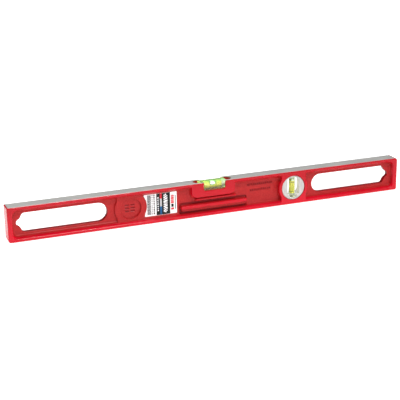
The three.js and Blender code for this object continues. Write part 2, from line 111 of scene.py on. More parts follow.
# the housing round the level vial, the rib and its groove
HOUSING = {"left": -34.5, "right": 32.0, "bottom": 29.2, "corner": 8.0}
APRON = {"left": -27.0, "right": 34.0, "bottom": 24.0, "top": 26.3, "turn": 1.1, "depth": 3.4}
RIB = {"left": -50.3, "right": 51.5, "bottom": 13.4, "top": 17.9, "turn": 2.1, "depth": 2.4}
BELLY = {"left": -49.0, "right": 51.0, "bottom": 9.4, "top": 16.0, "turn": 2.4, "depth": 5.0}
GROOVE = {"left": -53.0, "right": 53.0, "bottom": 5.2, "top": 22.6, "turn": 3.5, "depth": 8.6}
GROOVE_SPREAD = 0.9  # how far its walls stand outside those sizes at the face

# plain marks sunk in the web: rows of (left, right, bottom, top, lengths of the bars in turn)
MARK_ROWS = [
    (54.0, 94.6, 34.6, 38.0, (2.4, 1.5, 2.0)), (58.0, 92.6, 25.8, 29.2, (1.8, 2.6, 1.4))]
MARK_GAP = 1.1
MARK_TURN = 0.5
MARK_DEPTH = 0.8
MARK_PROFILE = [(-BEYOND, 0.25), (0.0, 0.25), (0.15, 0.05), (MARK_DEPTH, -0.05)]  # (depth, grow)
TABLETS = {"left": (-133.0, -124.6), "width": 6.0, "bottoms": (19.6, 24.0, 28.4), "height": 2.4}

# soles, notch and slot
SOLE_BED_GAP = 0.3
SOLE_THICKNESS = 0.8
NOTCH = {"left": -16.3, "right": 17.4, "bottom": 37.5, "corner": 3.5}
NOTCH_LIP = 0.8
SLOT_HALF = 21.8
SLOT_RADIUS = 7.5
SLOT_BOTTOM = 36.4
SLOT_LIP = 0.5

# level vial
BARREL_Z = 43.6
BARREL_RADIUS = 4.35
BARREL_HALF = 13.4
BARREL_CROWN = 0.08  # how much wider the barrel is in the middle
LEVEL_LINE_X = 4.7
LEVEL_BUBBLE = {"x": -0.6, "half": 4.8, "depth": 4.3, "thinnest": 0.06}
BUBBLE_SWELL = {"level": 0.02, "plumb": 0.03}  # how far a bubble stands outside its liquid
BEAD = {"reach": 1.1, "height": 1.7, "tucked": 0.05}  # setting compound along the foot of the block

# plumb vial and its insert
INSERT_RADIUS = 18.0
INSERT_FRONT = -FACE_Y + 1.0
CUP_RADIUS = 16.8
CUP_FLOOR = -2.6
CRADLE_HALF = 6.6
CRADLE_BACK = 0.8
WINDOW = {"half_width": 9.0, "bottom": -10.6, "top": 14.4, "lip": 0.6}  # from the insert's middle
TUBE_Y = -5.0
TUBE_RADIUS = 4.9
TUBE_HALF = 15.4
SEAT_GAP = 0.3  # round the tube, in its seat
PLUMB_FLUID_RADIUS = 3.8
PLUMB_FLOOR = 15.5
PLUMB_CEILING = 37.7
PLUMB_BUBBLE_WALL = 2.6  # the height of the bubble's straight side
PLUMB_BUBBLE_SAG = 1.0
PLUMB_LINES_MIDDLE = 25.5
PLUMB_LINE_HALF = 7.0
LINE_WIDTH = 0.5
LINE_GAP = 0.05  # between a bubble's path and the printed lines round it
LINE_THICKNESS = 0.12

# label
LABEL = {"top_left": -105.8, "bottom_left": -104.0, "right": -55.5, "half_height": 16.2}
LABEL_ARC = {"half": 11.5, "radius": 24.6}
LABEL_TURNS = {"left": 1.2, "right": 0.8}
LABEL_FRONT = -3.72
LABEL_BACK = -3.6
LABEL_EDGE = {"in": 0.06, "deep": 0.04}
INK = 0.02

# what is printed on it: areas are (left, right, bottom, top), and a column of bars adds the lengths of
# its bars in turn and the gap between them
PRINT_LOW = MID_Z - 14.0
PRINT_HIGH = MID_Z + 15.4
PANEL = (-86.2, -65.6, MID_Z - 15.9, MID_Z + 16.0)
STRIPE_X = (-80.8, -78.0)
STRIPES = {"red": (33.0, 40.9), "pale": (21.5, 33.0), "blue": (9.4, 21.5)}
CODE_COLUMNS = [
    (-100.0, -94.2, PRINT_LOW, PRINT_HIGH, (0.9, 0.5, 1.4, 0.6), 0.28),
    (-90.4, -88.6, PRINT_LOW, PRINT_HIGH, (2.6, 1.4, 3.2), 0.6)]
NOTE_COLUMNS = [(-93.6, -91.2, PRINT_LOW, PRINT_HIGH, (3.1, 1.7, 2.4), 0.6)]
HEAD_COLUMNS = [
    (-84.6, -82.8, 15.0, 36.5, (2.0, 1.2, 1.6), 1.5),
    (-75.4, -73.4, 12.6, 38.8, (3.4, 1.4, 2.4, 1.8), 1.1),
    (-73.4, -71.4, 11.8, 39.6, (2.4, 1.8, 3.0), 0.8),
    (-71.4, -69.6, 13.8, 37.4, (1.6, 3.0, 2.2), 1.3)]
RED_COLUMNS = [(-64.4, -59.9, 24.0, 36.6, (3.0, 2.2), 0.5)]
RED_FOOT = (-64.4, -59.9, 14.4, 17.6)
DARK_BARS = [(-64.0, -60.3, 18.4, 23.2), (-58.4, -57.3, 15.0, 36.0)]


# ---- meshes

def new_object(name, vertices, faces):
    """A mesh object from vertices in millimetres, with its faces turned outwards."""
    mesh = bpy.data.meshes.new(name)
    mesh.from_pydata([tuple(float(c) * MM for c in v) for v in vertices], [], faces)
    work = bmesh.new()
    work.from_mesh(mesh)
    bmesh.ops.recalc_face_normals(work, faces=work.faces)
    work.to_mesh(mesh)
    work.free()
    obj = bpy.data.objects.new(name, mesh)
    bpy.context.scene.collection.objects.link(obj)
    return obj


def skin(loops, first=0, ring=False):
    """The faces through loops of equally many points: with a cap on each end, or closed in a ring."""
    count = len(loops[0])
    starts = [first + level * count for level in range(len(loops))]
    faces = [] if ring else [tuple(range(n, n + count)) for n in (starts[0], starts[-1])]
    ahead = starts[1:] + starts[:1] if ring else starts[1:]
    for near, far in zip(starts, ahead):
        for i in range(count):
            j = (i + 1) % count
            faces.append((near + i, near + j, far + j, far + i))
    return faces


def loft(name, loops, ring=False):
    return new_object(name, np.vstack(loops), skin(loops, ring=ring))


def many(name, lofts):
    """Several closed lofts as one object."""
    points, faces, first = [], [], 0
    for loops in lofts:
        faces += skin(loops, first)
        first += len(loops) * len(loops[0])
        points += loops
    return new_object(name, np.vstack(points), faces)


def facing_y(points, y):
    """Points (x, z) as 3-D points in the plane at y."""
    return np.column_stack([points[:, 0], np.full(len(points), y), points[:, 1]])


def facing_z(points, z):
    return np.column_stack([points[:, 0], points[:, 1], np.full(len(points), z)])


def facing_x(points, x):
    return np.column_stack([np.full(len(points), x), points[:, 0], points[:, 1]])


def baked(obj):
    """obj with its modifiers made part of its mesh."""
    result = bpy.data.meshes.new_from_object(
        obj.evaluated_get(bpy.context.evaluated_depsgraph_get()))
    obj.modifiers.clear()
    obj.data = result
    return obj


def combined(base, changes):
    """base after a list of (operation, tool) booleans. The tools are used up."""
    for operation, tool in changes:
        modifier = base.modifiers.new(operation, "BOOLEAN")
        modifier.operation = operation
        modifier.object = tool
        modifier.solver = "MANIFOLD"
    baked(base)
    for _, tool in changes:
        bpy.data.objects.remove(tool)
    return base


def smoothed(obj, sharp_degrees=32):
    """Smooth shading with sharp creases kept, and flat faces kept flat up to their rounded edges."""
    work = bmesh.new()
    work.from_mesh(obj.data)
    bmesh.ops.remove_doubles(work, verts=work.verts, dist=1e-7)
    bmesh.ops.dissolve_degenerate(work, edges=work.edges, dist=1e-7)
    for edge in work.edges:
        edge.smooth = edge.calc_face_angle(math.pi) < math.radians(sharp_degrees)
    for face in work.faces:
        face.smooth = True
    work.to_mesh(obj.data)
    work.free()
    weights = obj.modifiers.new("weights", "WEIGHTED_NORMAL")
    weights.keep_sharp = True
    weights.weight = 50
    return baked(obj)


# ---- outlines

def arc(centre, radius, start, end, steps):
    angles = np.linspace(start, end, steps + 1)
    return np.column_stack([centre[0] + radius * np.cos(angles), centre[1] + radius * np.sin(angles)])


def outline(items, steps=6):
    """One loop of points from corners (a, b, radius), and from arrays that already follow a curve."""
    curved = [isinstance(item, np.ndarray) for item in items]
    heads = [item[0] if c else np.array(item[:2]) for item, c in zip(items, curved)]
    tails = [item[-1] if c else np.array(item[:2]) for item, c in zip(items, curved)]
    parts = []
    for i, item in enumerate(items):
        if curved[i]:
            parts.append(item)
            continue
        corner, radius = heads[i], max(item[2], 0.02)
        back = tails[i - 1] - corner
        ahead = heads[(i + 1) % len(items)] - corner
        back, ahead = back / np.linalg.norm(back), ahead / np.linalg.norm(ahead)
        half = math.acos(np.clip(back @ ahead, -1, 1)) / 2
        middle = (back + ahead) / np.linalg.norm(back + ahead)
        centre = corner + middle * radius / math.sin(half)
        first = corner + back * radius / math.tan(half) - centre
        second = corner + ahead * radius / math.tan(half) - centre
        start = math.atan2(first[1], first[0])
        sweep = math.atan2(second[1], second[0]) - start
        sweep = (sweep + math.pi) % (2 * math.pi) - math.pi
        parts.append(arc(centre, radius, start, start + sweep, steps))
    return np.vstack(parts)


def rectangle(left, right, bottom, top, radius, grow=0.0, steps=6):
    radius = max(radius + grow, 0.02)
    return outline([
        (left - grow, bottom - grow, radius), (right + grow, bottom - grow, radius),
        (right + grow, top + grow, radius), (left - grow, top + grow, radius)], steps)


def circle(centre, radius, steps=96):
    return arc(centre, radius, 0, 2 * math.pi, steps)[:-1]


def grown(points, distance):
    """A smooth closed outline, anticlockwise, moved outwards by distance."""
    along = np.roll(points, -1, axis=0) - np.roll(points, 1, axis=0)
    along /= np.linalg.norm(along, axis=1)[:, None]
    return points + distance * np.column_stack([along[:, 1], -along[:, 0]])


def curve(start, control, end, steps=10):
    """A quadratic curve without its last point."""
    t = np.linspace(0, 1, steps + 1)[:-1, None]
    start, control, end = (np.array(p, float) for p in (start, control, end))
    return (1 - t) ** 2 * start + 2 * t * (1 - t) * control + t ** 2 * end


def dashes(start, end, lengths, gap, shortest=0.0):
    """(from, to) pairs along a line, with their lengths in turn. What is left at its end is filled
    only if there is more than shortest of it."""
    pairs, place, turn = [], start, 0
    while place < end - shortest:
        length = lengths[turn % len(lengths)]
        pairs.append((place, min(place + length, end)))
        place += length + gap
        turn += 1
    return pairs


# ---- simple rounded forms

def quarter(radius, steps=4):
    """(along, inset) pairs round a quarter turn, from the end of a form to its side."""
    turns = np.linspace(0, math.pi / 2, steps + 1)
    return [(radius * (1 - math.cos(t)), radius * (1 - math.sin(t))) for t in turns]


def edged(start, end, edge):
    """(place, inset) pairs from start to end, with a rounded edge at both."""
    near = [(start + along, inset) for along, inset in quarter(edge)]
    return near + [(start + end - place, inset) for place, inset in reversed(near)]


def block(name, low, high, corner, edge):
    """A rectangular block with rounded upright corners and rounded top and bottom edges."""
    return loft(name, [
        facing_z(rectangle(low[0], high[0], low[1], high[1], corner, -inset), z)
        for z, inset in edged(low[2], high[2], edge)])


def rod(name, facing, centre, radius, start, end, edge, steps=64):
    """A round rod with rounded ends, along the axis that facing looks down."""
    return loft(name, [
        facing(circle((0, 0), radius - inset, steps), place) + centre
        for place, inset in edged(start, end, edge)])


def hoop(name, facing, centre, radius, middle, steps=64):
    """A printed line: a thin band just outside a radius."""
    profile = rectangle(
        radius, radius + LINE_THICKNESS, middle - LINE_WIDTH / 2, middle + LINE_WIDTH / 2, 0.03, steps=2)
    return loft(name, [
        facing(circle((0, 0), out, steps), place) + centre for out, place in profile], ring=True)


# ---- wall profiles

def spread(depth, total, lean, lip, foot):
    """How far a wall has moved sideways at a depth, from the line where it would leave the face."""
    slope = math.atan2(total, max(lean, 1e-6))
    lip_reach, foot_reach = lip * math.tan(slope / 2), foot * math.tan(slope / 2)
    if depth < lip * (1 - math.cos(slope)):
        return -lip_reach + lip * math.sin(math.acos(1 - max(depth, 0) / lip))
    left = total - depth
    if left < foot * (1 - math.cos(slope)):
        return lean + foot_reach - foot * math.sin(math.acos(1 - max(left, 0) / foot))
    return lean * depth / total


def levels(total, lip, foot, steps=4):
    """Depths at which a profile with a rounded top and foot is sampled."""
    turns = np.linspace(0, math.pi / 2, steps + 1)
    top = lip * (1 - np.cos(turns))
    bottom = total - foot * (1 - np.cos(turns))[::-1]
    return [d for d in top if d < total / 2] + [d for d in bottom if d > total / 2]


def pocket(name, side, shape, total, walls):
    """A cutter for a recess in the front (side -1) or the back (side 1). shape(offsets) gives the
    outline at a depth from each wall's sideways move."""
    lip = max(wall["lip"] for wall in walls.values())
    foot = max(wall["foot"] for wall in walls.values())
    loops = []
    for depth in [-BEYOND] + levels(total, lip, foot):
        moved = {key: spread(depth, total, **wall) for key, wall in walls.items()}
        loops.append(facing_y(shape(moved), side * (FACE_Y - depth)))
    return loft(name, loops)


def island(name, side, shape, top_depth, base_depth, wall, buried=1.0):
    """A raised form on the web. shape(grow) gives its outline, grown by the wall's sideways move."""
    total = base_depth - top_depth
    loops = []
    for depth in levels(total, wall["lip"], wall["foot"]):
        grow = spread(depth, total, **wall)
        loops.append(facing_y(shape(grow), side * (FACE_Y - top_depth - depth)))
    loops.append(facing_y(shape(grow), side * (FACE_Y - base_depth - buried)))
    return loft(name, loops)


def through_hole(name, shape, half_thickness, lip):
    """A cutter right through the level, with both of its lips rounded."""
    ways = [(-WIDTH, lip)]
    ways += [(-half_thickness + along, grow) for along, grow in quarter(lip)]
    ways += [(-y, grow) for y, grow in reversed(ways)]
    return loft(name, [facing_y(shape(grow), y) for y, grow in ways])


# ---- body

def boss_bulge(centre_angle, edge, moved):
    """The round side of the plumb insert's boss, between the ends of its straight edge."""
    radius = BOSS_RADIUS + moved
    swing = math.acos((edge + moved) / radius)
    return arc((STATION_X, MID_Z), radius, centre_angle + swing, centre_angle - swing, 16)


def left_pocket_shape(moved):
    """From the left end to the boss, and round the housing of the level vial."""
    flange, end, boss, housing = (moved[key] for key in ("flange", "end", "boss", "housing"))
    left = -END_X + END_LIP + end
    low, high = FLANGE_LIP + flange, HEIGHT - FLANGE_LIP - flange
    boss_x = STATION_X - BOSS_INNER - boss
    housing_left, housing_right = HOUSING["left"] - housing, HOUSING["right"] + housing
    housing_low = HOUSING["bottom"] - housing
    turn = HOUSING["corner"] + housing
    return outline([
        (left, low, POCKET_TURN - flange), (boss_x, low, BOSS_TURN_LOW),
        boss_bulge(math.pi, BOSS_INNER, boss), (boss_x, high, BOSS_TURN_HIGH),
        (housing_right, high, TIGHT_TURN), (housing_right, housing_low, turn),
        (housing_left, housing_low, turn), (housing_left, high, TIGHT_TURN),
        (left, high, POCKET_TURN_TOP_LEFT - flange)])


def right_pocket_shape(moved):
    """From the boss to the right end."""
    flange, end, boss = (moved[key] for key in ("flange", "end", "boss"))
    right = END_X - END_LIP - end
    low, high = FLANGE_LIP + flange, HEIGHT - FLANGE_LIP - flange
    boss_x = STATION_X + BOSS_OUTER + boss
    return outline([
        (boss_x, low, TIGHT_TURN), (right, low, POCKET_TURN - flange),
        (right, high, POCKET_TURN - flange), (boss_x, high, TIGHT_TURN),
        boss_bulge(0, BOSS_OUTER, boss)])


def pad_shape(grow):
    """The pad round the blank disc: upright edges that bulge in the middle."""
    radius = PAD_RADIUS + grow
    reach = MID_Z - PAD_LOW
    left, right = -STATION_X - PAD_OUTER - grow, -STATION_X + PAD_INNER + grow
    turn_left = math.acos((PAD_OUTER + grow) / radius)
    turn_right = math.acos((PAD_INNER + grow) / radius)
    centre = (-STATION_X, MID_Z)
    return np.vstack([
        [(left, MID_Z - reach), (right, MID_Z - reach)],
        arc(centre, radius, -turn_right, turn_right, 16),
        [(right, MID_Z + reach), (left, MID_Z + reach)],
        arc(centre, radius, math.pi - turn_left, math.pi + turn_left, 16)])


def handle_shape(grow):
    """The right-hand handle hole: a full round inside, a narrowing neck and a hang hole outside."""
    top, bottom = MID_Z + HANDLE_RADIUS, MID_Z - HANDLE_RADIUS
    centre = (HANDLE_INNER + HANDLE_RADIUS, MID_Z)
    neck = (HANG_X + HANG_RADIUS * math.cos(HANG_SWING), HANG_RADIUS * math.sin(HANG_SWING))
    cheek = (HANDLE_SHOULDER + CHEEK["out"], CHEEK["half_height"])
    bend = (cheek[0] - CHEEK["bend"], HANDLE_RADIUS)
    waist = (HANG_X - WAIST["in"], WAIST["half_height"])
    shoulder = (HANDLE_SHOULDER, HANDLE_RADIUS)

    def below(p):
        return (p[0], MID_Z - p[1])

    def above(p):
        return (p[0], MID_Z + p[1])

    points = np.vstack([
        curve((centre[0], bottom), ((centre[0] + HANDLE_SHOULDER) / 2, bottom), below(shoulder), 12),
        curve(below(shoulder), below(bend), below(cheek)),
        curve(below(cheek), below(waist), below(neck)),
        arc((HANG_X, MID_Z), HANG_RADIUS, -HANG_SWING, HANG_SWING, 12)[:-1],
        curve(above(neck), above(waist), above(cheek)),
        curve(above(cheek), above(bend), above(shoulder)),
        curve(above(shoulder), ((centre[0] + HANDLE_SHOULDER) / 2, top), (centre[0], top), 12),
        arc(centre, HANDLE_RADIUS, math.pi / 2, math.pi * 1.5, 28)[:-1]])
    return grown(points, grow)


def slab():
    """The outer block, with its long edges rounded."""
    near = [(-FACE_Y + along, inset) for inset, along in reversed(quarter(EDGE_ROUND, 5))]
    loops = []
    for y, inset in near + [(-y, inset) for y, inset in reversed(near)]:
        rounds = {key: max(r - inset, 0.2) for key, r in CORNER_ROUNDS.items()}
        loops.append(facing_y(outline([
            (-END_X + inset, inset, rounds["bottom_left"]),
            (END_X - inset, inset, rounds["bottom_right"]),
            (END_X - inset, HEIGHT - inset, rounds["top_right"]),
            (-END_X + inset, HEIGHT - inset, rounds["top_left"])]), y))
    return loft("body_shell", loops)


def slot_shape(grow):
    """The long hole with round ends in the top edge, seen from above."""
    half = math.pi / 2
    return np.vstack([
        arc((SLOT_HALF, 0), SLOT_RADIUS + grow, -half, half, 24),
        arc((-SLOT_HALF, 0), SLOT_RADIUS + grow, half, 3 * half, 24)])


def slot_cutter():
    loops = [facing_z(slot_shape(0), SLOT_BOTTOM)]
    for grow, drop in quarter(SLOT_LIP, 3):
        loops.append(facing_z(slot_shape(grow), HEIGHT - drop))
    loops.append(facing_z(slot_shape(SLOT_LIP), HEIGHT + BEYOND))
    return loft("slot", loops)


def sole_bed(box, z):
    """A cutter for the shallow bed of the soles in one edge, with a gap all round them."""
    (x0, y0, _), (x1, y1, _) = (corner / MM for corner in box)
    gap = SOLE_BED_GAP
    points = rectangle(x0 - gap, x1 + gap, y0 - gap, y1 + gap, 0.4)
    depth = SOLE_THICKNESS + gap
    return loft("bed", [facing_z(points, z - depth), facing_z(points, z + depth)])


def bar_shape(bar, grow):
    return rectangle(bar["left"], bar["right"], bar["bottom"], bar["top"], bar["turn"], grow)


def groove_shape(moved):
    return bar_shape(GROOVE, GROOVE_SPREAD - moved["groove"])


def side_changes(side):
    """What is cut from the front or the back of the body, and what is raised on it."""
    right_walls = {"flange": FLANGE_WALL, "end": END_WALL, "boss": BOSS_WALL}
    left_walls = {**right_walls, "housing": HOUSING_WALL}
    changes = [
        ("DIFFERENCE", pocket("pocket", side, left_pocket_shape, WEB_DEPTH, left_walls)),
        ("DIFFERENCE", pocket("pocket", side, right_pocket_shape, WEB_DEPTH, right_walls)),
        ("DIFFERENCE", pocket("groove", side, groove_shape, GROOVE["depth"], {"groove": GROOVE_WALL})),
        ("UNION", island("pad", side, pad_shape, PAD_DEPTH, WEB_DEPTH, PAD_WALL))]
    for bar, base_depth, wall in (
            (APRON, WEB_DEPTH, APRON_WALL), (BELLY, GROOVE["depth"], BELLY_WALL),
            (RIB, GROOVE["depth"], RIB_WALL)):
        changes.append(("UNION", island(
            "bar", side, lambda grow: bar_shape(bar, grow), bar["depth"], base_depth, wall)))
    changes.append(("DIFFERENCE", blank_recess(side)))
    return changes + moulded_marks(side)


def make_body():
    changes = side_changes(-1) + side_changes(1)
    notch = (NOTCH["left"], NOTCH["right"], NOTCH["bottom"], HEIGHT + 10, NOTCH["corner"])
    half_web = FACE_Y - WEB_DEPTH
    for shape, half_thickness, lip in (
            (handle_shape, half_web, HOLE_LIP),
            (lambda grow: handle_shape(grow) * (-1, -1) + (0, HEIGHT), half_web, HOLE_LIP),
            (lambda grow: circle((STATION_X, MID_Z), INSERT_BORE + grow), FACE_Y, BORE_LIP),
            (lambda grow: rectangle(*notch, grow), FACE_Y, NOTCH_LIP)):
        changes.append(("DIFFERENCE", through_hole("hole", shape, half_thickness, lip)))
    bottom_box, left_box, right_box = (
        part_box(n) for n in ("bottom_sole", "top_sole_left", "top_sole_right"))
    changes += [
        ("DIFFERENCE", slot_cutter()), ("DIFFERENCE", sole_bed(bottom_box, 0)),
        ("DIFFERENCE", sole_bed((left_box[0], right_box[1]), HEIGHT))]
    return smoothed(combined(slab(), changes))


def sunk_bar(side, left, right, bottom, top):
    """A cutter for a shallow bar with soft edges in the web."""
    loops = []
    for depth, grow in MARK_PROFILE:
        points = rectangle(left, right, bottom, top, MARK_TURN, grow, steps=3)
        loops.append(facing_y(points, side * (FACE_Y - WEB_DEPTH - depth)))
    return loft("bar", loops)


def moulded_marks(side):
    """Two rows of plain bars in the web, and two stacks of plain bars on the blank disc."""
    marks = []
    for left, right, bottom, top, lengths in MARK_ROWS:
        row = dashes(left, right, lengths, MARK_GAP, shortest=MARK_GAP)
        marks += [(start, end, bottom, top) for start, end in row]
    for left in TABLETS["left"]:
        for bottom in TABLETS["bottoms"]:
            marks.append((left, left + TABLETS["width"], bottom, bottom + TABLETS["height"]))
    return [("DIFFERENCE", sunk_bar(side, *mark)) for mark in marks]


def blank_recess(side):
    """A cutter for the blank disc: a round recess from the top of the pad to the web."""
    total = WEB_DEPTH - PAD_DEPTH
    loops = []
    for depth in [-BEYOND - PAD_DEPTH] + levels(total, BLANK_WALL["lip"], BLANK_WALL["foot"]):
        radius = BLANK_RADIUS - spread(depth, total, **BLANK_WALL)
        loops.append(facing_y(
            circle((-STATION_X, MID_Z), radius), side * (FACE_Y - PAD_DEPTH - depth)))
    return loft("blank", loops)


def make_sole(node):
    """An aluminium strip. The upper ones have the end of the slot cut out of them."""
    low, high = (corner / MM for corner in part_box(node))
    sole = block(node + "_strip", low, high, corner=0.6, edge=0.2)
    if low.z > MID_Z:
        slot = loft("slot", [facing_z(slot_shape(0), z) for z in (low.z - BEYOND, high.z + BEYOND)])
        combined(sole, [("DIFFERENCE", slot)])
    return smoothed(sole)


def label_shape(inset):
    """A rectangle whose left side follows the round pad next to it."""
    top, bottom = MID_Z + LABEL["half_height"] - inset, MID_Z - LABEL["half_height"] + inset
    right = LABEL["right"] - inset
    radius = LABEL_ARC["radius"] + inset
    angle = math.asin(LABEL_ARC["half"] / radius)
    return outline([
        (LABEL["bottom_left"] + inset, bottom, LABEL_TURNS["left"]),
        (right, bottom, LABEL_TURNS["right"]), (right, top, LABEL_TURNS["right"]),
        (LABEL["top_left"] + inset, top, LABEL_TURNS["left"]),
        arc((-STATION_X, MID_Z), radius, angle, -angle, 16)])


def make_label():
    whole = label_shape(0)
    return smoothed(loft("label_film", [
        facing_y(label_shape(LABEL_EDGE["in"]), LABEL_FRONT),
        facing_y(whole, LABEL_FRONT + LABEL_EDGE["deep"]), facing_y(whole, LABEL_BACK)]), 60)


def print_tiles(name, boxes, layer=1):
    """Printed areas (left, right, bottom, top) on the label. A higher layer lies on the one below."""
    front, back = LABEL_FRONT - layer * INK, LABEL_FRONT - (layer - 1) * INK
    return many(name, [
        [facing_y(rectangle(*box, 0.3, steps=3), y) for y in (front, back)] for box in boxes])


def bars(columns):
    """The boxes of all the bars in some columns."""
    return [
        (left, right, low, high)
        for left, right, bottom, top, lengths, gap in columns
        for low, high in dashes(bottom, top, lengths, gap)]


# ---- level vial

LEVEL_CENTRE = np.array([0.0, 0.0, BARREL_Z])


def make_level_block():
    low, high = (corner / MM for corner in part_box("level_vial_block"))
    return smoothed(block("level_block", low, high, corner=0.8, edge=0.35))


def make_level_fluid():
    """The liquid, in a barrel that is a little wider in the middle."""
    narrow = BARREL_RADIUS - BARREL_CROWN
    loops = [(place, narrow - inset) for place, inset in edged(-BARREL_HALF, BARREL_HALF, 0.8)]
    loops.insert(len(loops) // 2, (0.0, BARREL_RADIUS))
    return smoothed(loft("level_liquid", [
        facing_x(circle((0, 0), radius, 64), place) + LEVEL_CENTRE for place, radius in loops]))


def make_level_bubble():
    """The air along the top of the barrel, with a slightly sagging underside."""
    radius, steps = BARREL_RADIUS + BUBBLE_SWELL["level"], 24
    loops = []
    for turn in np.linspace(-math.pi / 2, math.pi / 2, 25):
        depth = max(LEVEL_BUBBLE["depth"] * math.cos(turn) ** 0.8, LEVEL_BUBBLE["thinnest"])
        swing = math.acos((radius - depth) / radius)
        roof = arc((0, 0), radius, math.pi / 2 - swing, math.pi / 2 + swing, steps)
        across = np.linspace(0, 1, steps)[1:-1]
        under = roof[-1] + (roof[0] - roof[-1]) * across[:, None]
        under[:, 1] -= 0.12 * depth * np.sin(math.pi * across)
        x = LEVEL_BUBBLE["x"] + LEVEL_BUBBLE["half"] * math.sin(turn)
        loops.append(facing_x(np.vstack([roof, under]), x) + LEVEL_CENTRE)
    return smoothed(loft("level_air", loops), 50)


def bead(side):
    """A run of squeezed-out compound on the floor of the notch, along one face of the block."""
    start_y = -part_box("level_vial_block")[0].y / MM - BEAD["tucked"]
    floor_z = NOTCH["bottom"] + 0.01
    loops = []
    for x in np.linspace(NOTCH["left"] + 0.4, NOTCH["right"] - 0.4, 40):
        wave = 1 + 0.10 * math.sin(1.1 * x) + 0.07 * math.sin(2.7 * x + 1.0)
        turns = np.linspace(0, math.pi / 2, 7)
        rim_y = start_y + BEAD["reach"] * wave * np.sin(turns) ** 0.8
        rim_z = floor_z + 0.01 + BEAD["height"] * wave * np.cos(turns)
        points = np.vstack([
            np.column_stack([rim_y, rim_z]), [(rim_y[-1], floor_z), (start_y, floor_z)]])
        points[:, 0] *= side
        loops.append(facing_x(points, x))
    return loops


def make_level_bed():
    """The pad under the block, and what is squeezed out along its front and back."""
    low, high = (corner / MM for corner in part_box("level_vial_bed"))
    pad = [facing_z(rectangle(low.x, high.x, low.y, high.y, 1.5, -inset), z)
           for z, inset in edged(low.z, high.z, 0.2)]
    return smoothed(many("level_bed", [pad, bead(-1), bead(1)]), 50)


def make_level_plug():
    low, high = (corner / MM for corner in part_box("level_vial_plug"))
    return smoothed(rod(
        "level_plug", facing_x, LEVEL_CENTRE, BARREL_RADIUS, low.x, high.x, 0.3))


def make_level_line(name, side):
    return smoothed(hoop(
        name, facing_x, LEVEL_CENTRE, BARREL_RADIUS + LINE_GAP, side * LEVEL_LINE_X))


# ---- plumb insert and vial

PLUMB_CENTRE = np.array([STATION_X, TUBE_Y, 0.0])


def window_shape(grow):
    """The opening through the insert, that the tube stands in."""
    return rectangle(
        STATION_X - WINDOW["half_width"], STATION_X + WINDOW["half_width"],
        MID_Z + WINDOW["bottom"], MID_Z + WINDOW["top"], 1.5, grow)


def mouth_shape(grow):
    """The opening that lets the tube in from the front."""
    half_x, half_z = TUBE_RADIUS + SEAT_GAP, TUBE_HALF + SEAT_GAP
    return rectangle(
        STATION_X - half_x, STATION_X + half_x, MID_Z - half_z, MID_Z + half_z, 1.0, grow)


def make_housing():
    """A cup that is open at the back, with the window in its thick floor, a cradle for the tube and a
    seat for each of its ends that is open to the front."""
    centre = np.array([STATION_X, 0.0, MID_Z])
    shell = rod("plumb_insert", facing_y, centre, INSERT_RADIUS, INSERT_FRONT, -INSERT_FRONT, 0.5, 128)
    back = -INSERT_FRONT
    cup = loft("cup", [facing_y(circle((STATION_X, MID_Z), CUP_RADIUS - inset, 128), CUP_FLOOR + along)
                       for along, inset in quarter(0.5)]
               + [facing_y(circle((STATION_X, MID_Z), CUP_RADIUS + grow, 128), y)
                  for y, grow in ((back - 0.4, 0), (back, 0.3), (back + BEYOND, 0.3))])
    cradle = block(
        "cradle",
        (STATION_X - CRADLE_HALF, CUP_FLOOR - 1.0, MID_Z - CUP_RADIUS + 0.5),
        (STATION_X + CRADLE_HALF, CRADLE_BACK, MID_Z + CUP_RADIUS - 0.5), 0.5, 0.3)
    lip = WINDOW["lip"]
    window = loft("window", [facing_y(window_shape(lip), INSERT_FRONT - BEYOND)]
                  + [facing_y(window_shape(grow), INSERT_FRONT + along) for along, grow in quarter(lip)]
                  + [facing_y(window_shape(0), FACE_Y)])
    mouth = loft("mouth", [facing_y(mouth_shape(0.3), INSERT_FRONT - BEYOND),
                           facing_y(mouth_shape(0.3), INSERT_FRONT),
                           facing_y(mouth_shape(0), INSERT_FRONT + 0.3),
                           facing_y(mouth_shape(0), TUBE_Y)])
    seat = rod("seat", facing_z, PLUMB_CENTRE, TUBE_RADIUS + SEAT_GAP,
               MID_Z - TUBE_HALF - SEAT_GAP, MID_Z + TUBE_HALF + SEAT_GAP, 0.2)
    return smoothed(combined(shell, [
        ("DIFFERENCE", cup), ("UNION", cradle), ("DIFFERENCE", window), ("DIFFERENCE", mouth),
        ("DIFFERENCE", seat)]))


def make_tube():
    return smoothed(rod(
        "plumb_tube", facing_z, PLUMB_CENTRE, TUBE_RADIUS, MID_Z - TUBE_HALF, MID_Z + TUBE_HALF, 0.5))


def make_plumb_fluid():
    return smoothed(rod(
        "plumb_liquid", facing_z, PLUMB_CENTRE, PLUMB_FLUID_RADIUS,
        PLUMB_FLOOR, PLUMB_CEILING - 0.3, 0.9))


def make_plumb_bubble():
    """The air at the top of the tube: a flat dome over a curved underside."""
    top = PLUMB_CEILING - 0.2
    side_end = top - PLUMB_BUBBLE_WALL
    radius = PLUMB_FLUID_RADIUS + BUBBLE_SWELL["plumb"]
    profile = [(top, 0.9), (top - 0.25, 0.3), (top - 0.8, 0.0), (side_end, 0.0)]
    profile += [(side_end - PLUMB_BUBBLE_SAG * math.sin(t), radius * (1 - math.cos(t)))
                for t in np.linspace(0.3, 1.45, 7)]
    return smoothed(loft("plumb_air", [
        facing_z(circle((0, 0), radius - inset, 64), z) + PLUMB_CENTRE for z, inset in profile]), 50)


def make_plumb_plug():
    return smoothed(rod(
        "plumb_plug", facing_z, PLUMB_CENTRE, PLUMB_FLUID_RADIUS,
        PLUMB_CEILING, MID_Z + TUBE_HALF - 0.3, 0.3))


